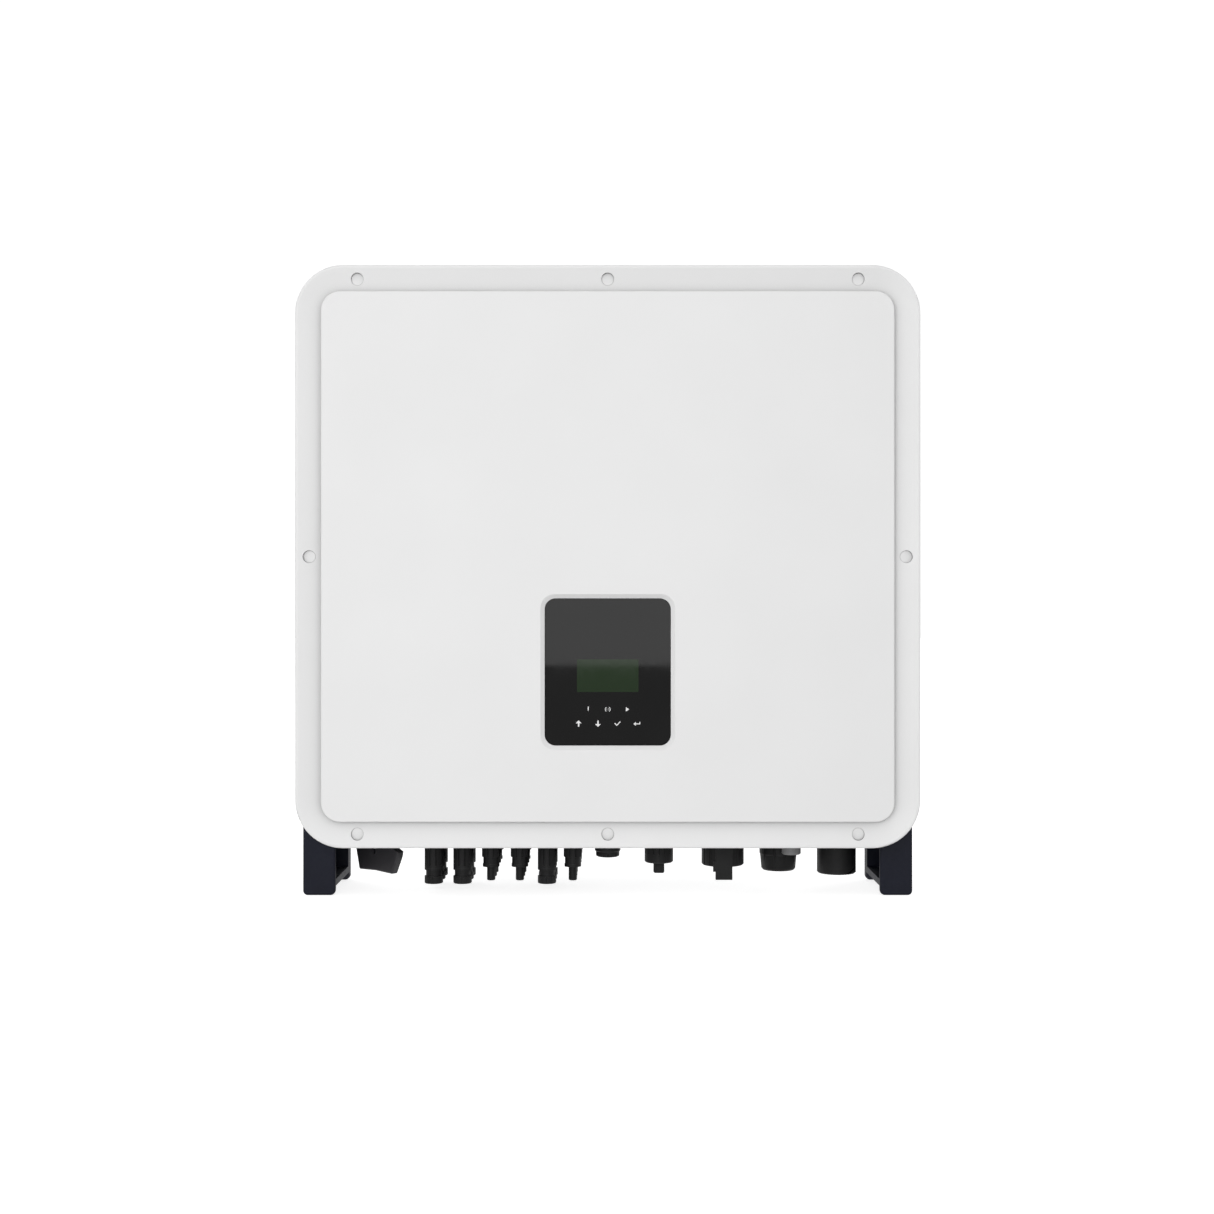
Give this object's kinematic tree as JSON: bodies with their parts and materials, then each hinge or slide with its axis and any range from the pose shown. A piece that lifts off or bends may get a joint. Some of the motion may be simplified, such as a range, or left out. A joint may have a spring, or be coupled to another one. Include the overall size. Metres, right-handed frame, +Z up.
{
  "type": "string inverter",
  "caption": "Wall-hung solar string inverter: shallow white cover with a small black display, finned back, and a row of connectors underneath between two feet.",
  "frame": {"origin": "centre of the footprint, on the plane that the two feet stand on", "axes": "+Z up, the display faces -Y, +X is to the viewer's right"},
  "size_m": [0.52, 0.214, 0.53],
  "materials": {
    "cover_paint": "satin powder coat, near white",
    "casting": "fine-textured dark graphite powder coat",
    "foot_plastic": "moulded, fine texture, navy black",
    "black_plastic": "moulded, fine texture",
    "knob_plastic": "moulded, satin",
    "display_glass": "smoked, glossy",
    "screen": "dark green liquid-crystal screen",
    "board": "green solder mask",
    "lamp": "clear tinted lamps",
    "rubber_black": "moulded",
    "rubber_grey": "foamed silicone cord",
    "steel_screw": "zinc plated",
    "steel_sheet": "galvanised sheet",
    "steel_post": "turned, nickel plated",
    "aluminium_fins": "extruded, bonded fins",
    "copper_winding": "enamelled copper",
    "contact_brass": "tin-plated brass",
    "capacitor_can": "sleeved aluminium cans",
    "film_box": "potted plastic boxes",
    "relay_box": "moulded cases",
    "module_case": "moulded power modules",
    "valve_membrane": "moulded, satin"
  },
  "bodies": {
    "housing": {"front_cover": "cover_paint", "cover_screws": "steel_screw", "screw_plugs": "cover_paint", "cover_gasket": "rubber_grey", "display_glass": "display_glass", "display_carrier": "black_plastic", "display_board": "board", "lcd_module": "screen", "status_leds": "lamp", "touch_pads": "rubber_black", "rear_housing": "casting", "right_foot": "foot_plastic", "left_foot": "foot_plastic", "foot_screws": "steel_screw", "heat_sink": "aluminium_fins", "heat_sink_screws": "steel_screw", "fan_tray": "steel_sheet", "fan_frames": "black_plastic", "fan_guards": "steel_screw", "dc_switch_escutcheon": "black_plastic", "dc_switch_body": "black_plastic", "dc_sockets_positive": "black_plastic", "dc_sockets_negative": "black_plastic", "dc_caps_positive": "black_plastic", "dc_caps_negative": "black_plastic", "dc_contacts": "contact_brass", "connector_lock_nuts": "black_plastic", "breather_valve_body": "valve_membrane", "breather_valve_cap": "valve_membrane", "dongle_port_socket": "black_plastic", "com_port_socket": "black_plastic", "grid_connector_base": "black_plastic", "backup_connector_base": "black_plastic", "grid_connector_shell": "black_plastic", "backup_connector_shell": "black_plastic", "gland_seals": "rubber_black", "ac_contact_inserts": "black_plastic", "ac_contacts": "contact_brass", "earth_terminal": "steel_post", "power_modules": "module_case", "power_board": "board", "board_standoffs": "steel_screw", "dc_link_capacitors": "capacitor_can", "film_capacitors": "film_box", "grid_relays": "relay_box", "control_board": "board", "boost_inductors": "aluminium_fins", "filter_chokes": "copper_winding", "wall_bracket": "steel_sheet", "hanger_hooks": "casting", "bracket_lock_screws": "steel_screw"},
    "switch": {"dc_switch_knob": "knob_plastic", "dc_switch_shaft": "steel_screw"},
    "fan_left": {"fan_rotor_left": "black_plastic"},
    "fan_middle": {"fan_rotor_middle": "black_plastic"},
    "fan_right": {"fan_rotor_right": "black_plastic"},
    "dongle_cap": {"dongle_port_cap": "black_plastic"},
    "com_cap": {"com_port_cap": "black_plastic"},
    "grid_ring": {"grid_connector_ring": "black_plastic"},
    "backup_ring": {"backup_connector_ring": "black_plastic"}
  },
  "joints": [
    {"name": "switch_turn", "type": "hinge", "parent": "housing", "child": "switch", "pos_m": [-0.201, -0.032, 0.04], "axis": [0, 0, 1], "range_deg": [0, 90]},
    {"name": "fan_spin_left", "type": "hinge", "parent": "housing", "child": "fan_left", "pos_m": [-0.12, 0.065, 0.08], "axis": [0, 0, 1], "continuous": true},
    {"name": "fan_spin_middle", "type": "hinge", "parent": "housing", "child": "fan_middle", "pos_m": [0, 0.065, 0.08], "axis": [0, 0, 1], "continuous": true},
    {"name": "fan_spin_right", "type": "hinge", "parent": "housing", "child": "fan_right", "pos_m": [0.12, 0.065, 0.08], "axis": [0, 0, 1], "continuous": true},
    {"name": "dongle_cap_twist", "type": "hinge", "parent": "housing", "child": "dongle_cap", "pos_m": [0.0446, -0.037, 0.03], "axis": [0, 0, 1], "range_deg": [0, 90]},
    {"name": "com_cap_twist", "type": "hinge", "parent": "housing", "child": "com_cap", "pos_m": [0.1002, -0.037, 0.03], "axis": [0, 0, 1], "range_deg": [0, 90]},
    {"name": "grid_ring_twist", "type": "hinge", "parent": "housing", "child": "grid_ring", "pos_m": [0.1492, -0.032, 0.05], "axis": [0, 0, 1], "range_deg": [0, 60]},
    {"name": "backup_ring_twist", "type": "hinge", "parent": "housing", "child": "backup_ring", "pos_m": [0.2, -0.032, 0.05], "axis": [0, 0, 1], "range_deg": [0, 60]}
  ]
}
